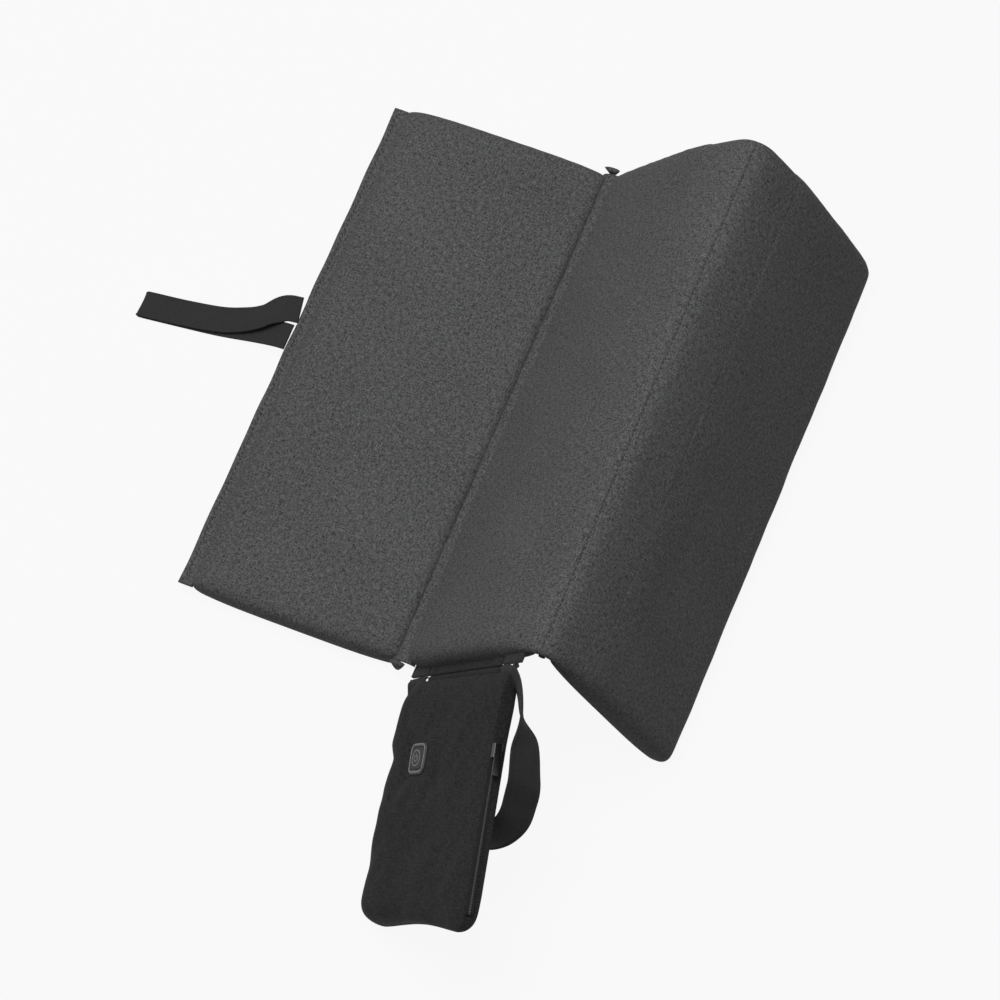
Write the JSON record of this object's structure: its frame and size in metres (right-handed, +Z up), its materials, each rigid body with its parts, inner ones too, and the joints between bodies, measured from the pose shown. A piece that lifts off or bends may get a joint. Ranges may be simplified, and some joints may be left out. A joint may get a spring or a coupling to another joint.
{
  "type": "heated seat cushion",
  "caption": "Folding heated seat cushion of padded cloth panels with a battery pouch, push button, carry handle and closing loop.",
  "frame": {"origin": "centre of the left panel's underside, on the floor it rests on", "axes": "+X across the panels from the closing loop to the falling panel, +Y along the folds away from the battery pouch, +Z up"},
  "size_m": [0.4055, 0.4997, 0.1342],
  "materials": {
    "cover_cloth": "matt",
    "foam": "matt",
    "heating_film": "satin",
    "lead_jacket": "satin",
    "zip_tape": "satin",
    "slider_metal": "satin",
    "battery_plastic": "matt",
    "cell_foil": "satin",
    "board": "satin",
    "plug_rubber": "satin",
    "frame_plastic": "satin",
    "button_rubber": "satin",
    "lamp_lens": "gloss",
    "webbing": "matt"
  },
  "bodies": {
    "left_panel": {"left_top_cover": "cover_cloth", "left_bottom_cover": "cover_cloth", "left_foam": "foam", "left_heating_film": "heating_film", "left_heater_lead": "lead_jacket", "outer_hem": "cover_cloth", "loop_ends": "webbing", "valley_seam": "cover_cloth"},
    "middle_panel": {"middle_top_cover": "cover_cloth", "middle_bottom_cover": "cover_cloth", "middle_foam": "foam", "middle_heating_film": "heating_film", "middle_heater_lead": "lead_jacket", "ridge_seam_roll": "cover_cloth", "ridge_cloth": "cover_cloth", "neck_root": "cover_cloth", "left_handle_anchor": "webbing", "right_handle_anchor": "webbing"},
    "right_panel": {"right_top_cover": "cover_cloth", "right_bottom_cover": "cover_cloth", "right_foam": "foam", "right_heating_film": "heating_film", "right_heater_lead": "lead_jacket"},
    "battery_pouch": {"pouch_front_cloth": "cover_cloth", "pouch_back_cloth": "cover_cloth", "pouch_neck": "cover_cloth", "pouch_zip": "zip_tape", "battery_case": "battery_plastic", "battery_lid": "battery_plastic", "battery_cells": "cell_foil", "battery_board": "board", "battery_plug": "plug_rubber", "button_frame": "frame_plastic", "switch_tray": "battery_plastic", "switch_board": "board", "button_lamps": "lamp_lens"},
    "zip_slider": {"zip_slider": "slider_metal"},
    "power_button": {"power_button": "button_rubber"},
    "carry_handle": {"carry_handle": "webbing"},
    "closing_loop": {"closing_loop": "webbing"}
  },
  "joints": [
    {"name": "valley_fold", "type": "hinge", "parent": "left_panel", "child": "middle_panel", "pos_m": [0.0675, 0, 0.0223], "axis": [0, -1, 0], "range_deg": [-55, 125]},
    {"name": "ridge_fold", "type": "hinge", "parent": "middle_panel", "child": "right_panel", "pos_m": [0.16345, 0, 0.11992], "axis": [0, 1, 0], "range_deg": [-119.38, 60.62], "deforming": ["ridge_cloth"]},
    {"name": "pouch_swing", "type": "hinge", "parent": "middle_panel", "child": "battery_pouch", "pos_m": [0.1167, -0.1725, 0.07025], "axis": [-0.5736, 0, -0.8192], "range_deg": [0, 70]},
    {"name": "handle_swing", "type": "hinge", "parent": "middle_panel", "child": "carry_handle", "pos_m": [0.1167, -0.1725, 0.07025], "axis": [-0.5736, 0, -0.8192], "range_deg": [-50, 0]},
    {"name": "loop_swing", "type": "hinge", "parent": "left_panel", "child": "closing_loop", "pos_m": [-0.0763, 0.0115, 0.0095], "axis": [0, 1, 0], "range_deg": [0, 75]},
    {"name": "button_press", "type": "slide", "parent": "battery_pouch", "child": "power_button", "axis": [0.7911, 0.2596, -0.5539], "range_m": [0, 0.0008], "stiffness_N_per_m": 900, "springref_m": -0.0004},
    {"name": "zip_slide", "type": "slide", "parent": "battery_pouch", "child": "zip_slider", "axis": [0.2126, -0.9657, -0.1489], "range_m": [0, 0.078]}
  ]
}
